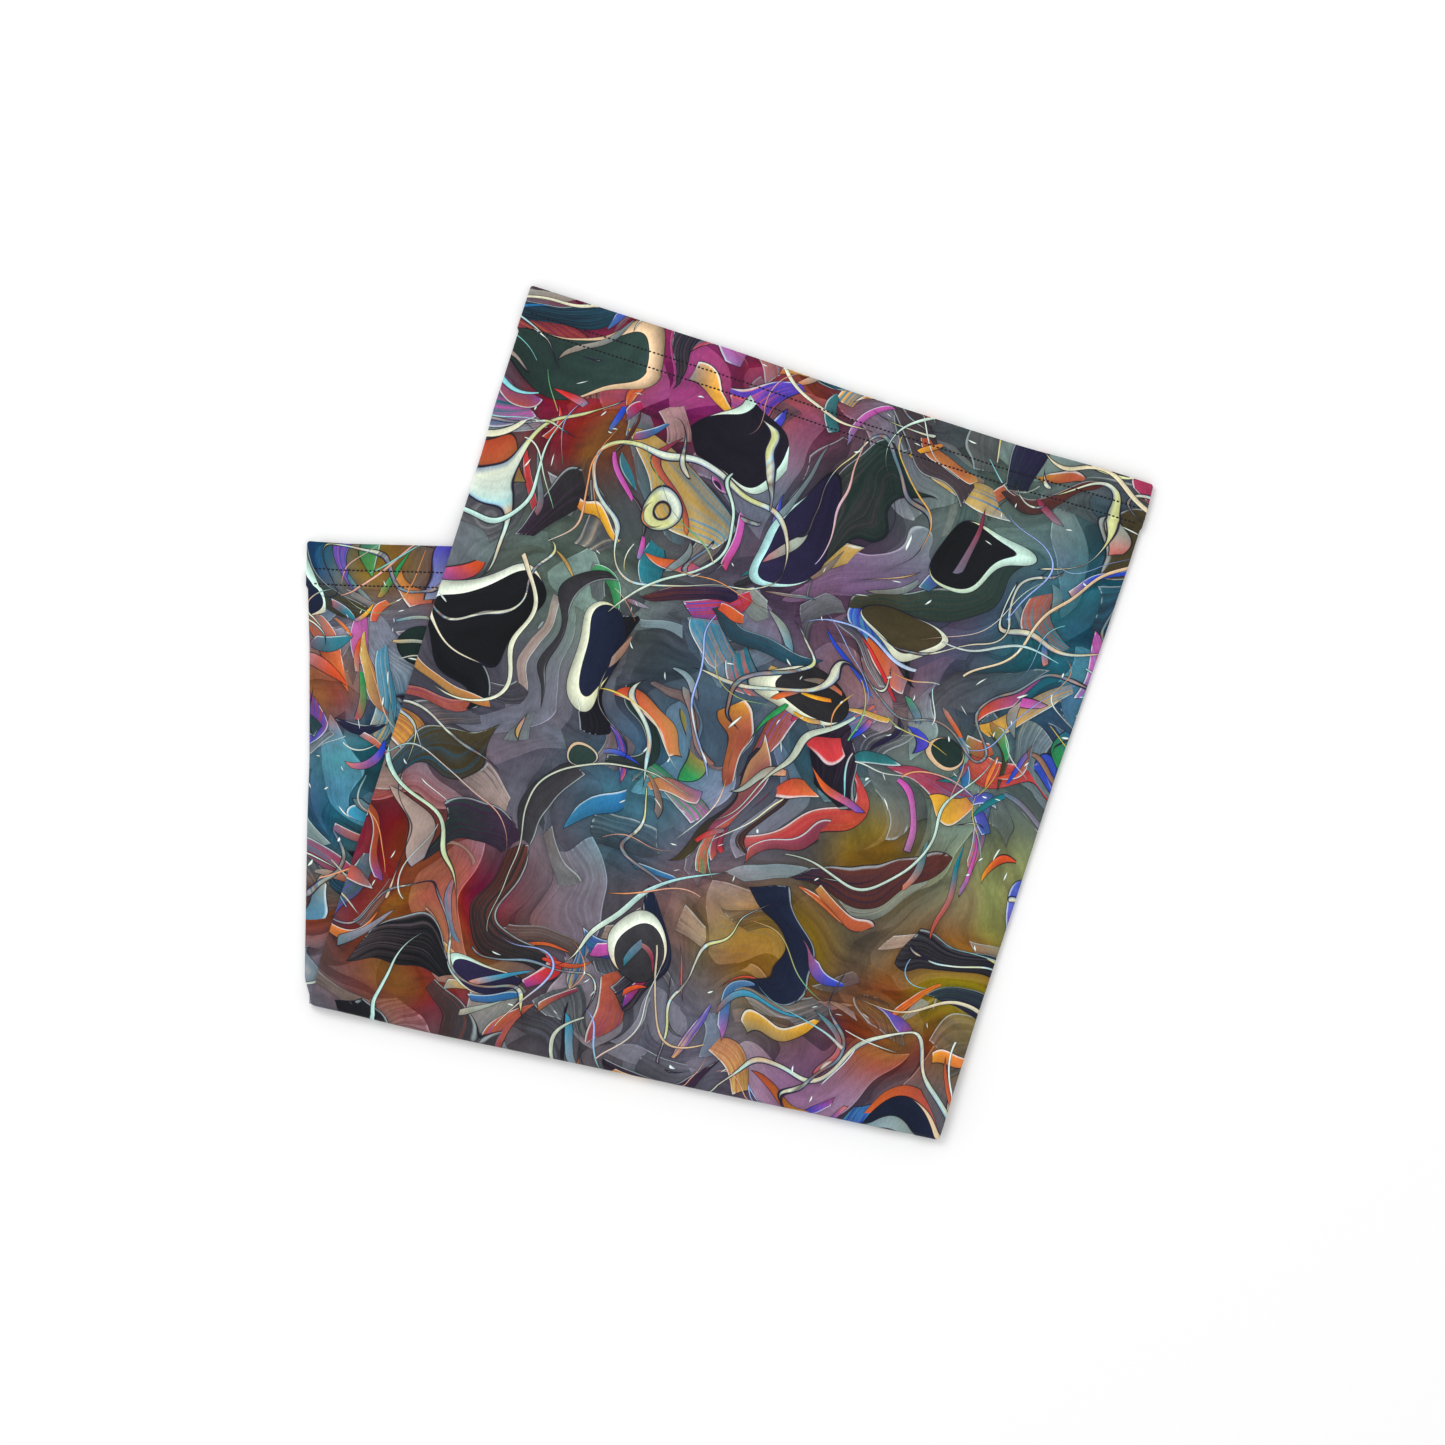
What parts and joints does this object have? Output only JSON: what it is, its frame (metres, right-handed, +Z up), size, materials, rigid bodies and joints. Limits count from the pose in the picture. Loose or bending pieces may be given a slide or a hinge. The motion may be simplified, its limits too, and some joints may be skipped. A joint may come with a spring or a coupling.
{
  "type": "neck gaiter",
  "caption": "Knitted tube worn round the neck, laid flat and doubled under itself along a slanted crease, with turned-in stitched hems and a back seam.",
  "frame": {"origin": "on the surface the gaiter rests on, under the middle of its outline", "axes": "+Z up through the stack of cloth, +Y from the crease towards the front flap's mouth side of the outline, +X to the right as it is looked down on"},
  "size_m": [0.3302, 0.3326, 0.0057],
  "materials": {
    "printed_knit": "fine polyester jersey with an all-over painterly print on its face, matt with a faint sheen",
    "knit_reverse": "unprinted off-white reverse of the jersey, matt",
    "hem_thread": "dark textured polyester sewing thread",
    "seam_thread": "off-white polyester overlock thread"
  },
  "bodies": {
    "rear_flap": {"rear_front_wall": "printed_knit", "rear_back_wall": "printed_knit", "rear_left_fold": "printed_knit", "rear_right_fold": "printed_knit", "rear_front_hem_turn": "printed_knit", "rear_back_hem_turn": "printed_knit", "rear_first_needle_thread": "hem_thread", "rear_second_needle_thread": "hem_thread", "rear_looper_thread": "hem_thread", "rear_seam_allowance": "knit_reverse", "rear_overlock_thread": "seam_thread", "crease_outer_bend": "printed_knit", "crease_inner_bend": "printed_knit"},
    "front_flap": {"front_front_wall": "printed_knit", "front_back_wall": "printed_knit", "front_left_fold": "printed_knit", "front_right_fold": "printed_knit", "front_front_hem_turn": "printed_knit", "front_back_hem_turn": "printed_knit", "front_first_needle_thread": "hem_thread", "front_second_needle_thread": "hem_thread", "front_looper_thread": "hem_thread", "front_seam_allowance": "knit_reverse", "front_overlock_thread": "seam_thread"}
  },
  "joints": [
    {"name": "crease_fold", "type": "hinge", "parent": "rear_flap", "child": "front_flap", "pos_m": [-0.04046, -0.13765, 0.00285], "axis": [0.9789, -0.2045, 0], "range_deg": [0, 179.9], "deforming": ["crease_outer_bend", "crease_inner_bend"]}
  ]
}
